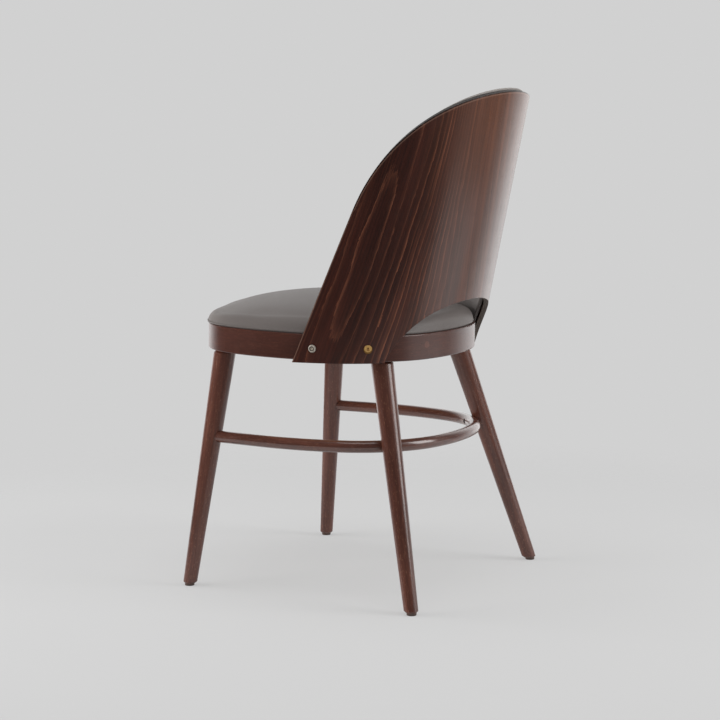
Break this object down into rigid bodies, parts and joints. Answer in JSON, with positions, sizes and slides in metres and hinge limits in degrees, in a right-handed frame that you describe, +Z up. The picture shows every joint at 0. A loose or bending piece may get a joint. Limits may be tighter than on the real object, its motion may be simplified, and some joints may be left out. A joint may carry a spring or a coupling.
{
  "type": "upholstered dining chair",
  "caption": "Dining chair with a bent plywood back that wraps a bentwood seat ring, padded leatherette seat and back, splayed turned legs and a U-shaped round stretcher.",
  "frame": {"origin": "on the floor, under the middle of the chair's whole width and length", "axes": "+Z up, the sitter faces -Y, +X is the sitter's left"},
  "size_m": [0.4822, 0.5231, 0.8318],
  "materials": {
    "shell_plywood": "walnut stained veneer, satin lacquer",
    "frame_wood": "walnut stained beech, satin lacquer",
    "raw_wood": "planed beech",
    "raw_plywood": "raw plywood",
    "leatherette": "smooth satin",
    "foam": "open cell foam",
    "nickel": "nickel plated",
    "brass": "aged brass",
    "steel": "zinc plated",
    "spacer_plastic": "black nylon",
    "glide_plastic": "dark nylon"
  },
  "bodies": {
    "root": {"seat_ring": "frame_wood", "front_left_leg": "frame_wood", "front_right_leg": "frame_wood", "rear_left_leg": "frame_wood", "rear_right_leg": "frame_wood", "front_left_block": "raw_wood", "front_right_block": "raw_wood", "rear_left_block": "raw_wood", "rear_right_block": "raw_wood", "front_left_glide": "glide_plastic", "front_right_glide": "glide_plastic", "rear_left_glide": "glide_plastic", "rear_right_glide": "glide_plastic", "stretcher": "frame_wood", "stretcher_screws": "steel", "back_shell": "shell_plywood", "back_foam": "foam", "back_cover": "leatherette", "front_shell_screws": "nickel", "front_screw_cups": "nickel", "rear_shell_screws": "brass", "rear_shell_spacers": "spacer_plastic", "shell_inserts": "brass", "seat_board": "raw_plywood", "seat_foam": "foam", "seat_cover": "leatherette", "seat_screws": "steel"}
  },
  "joints": []
}
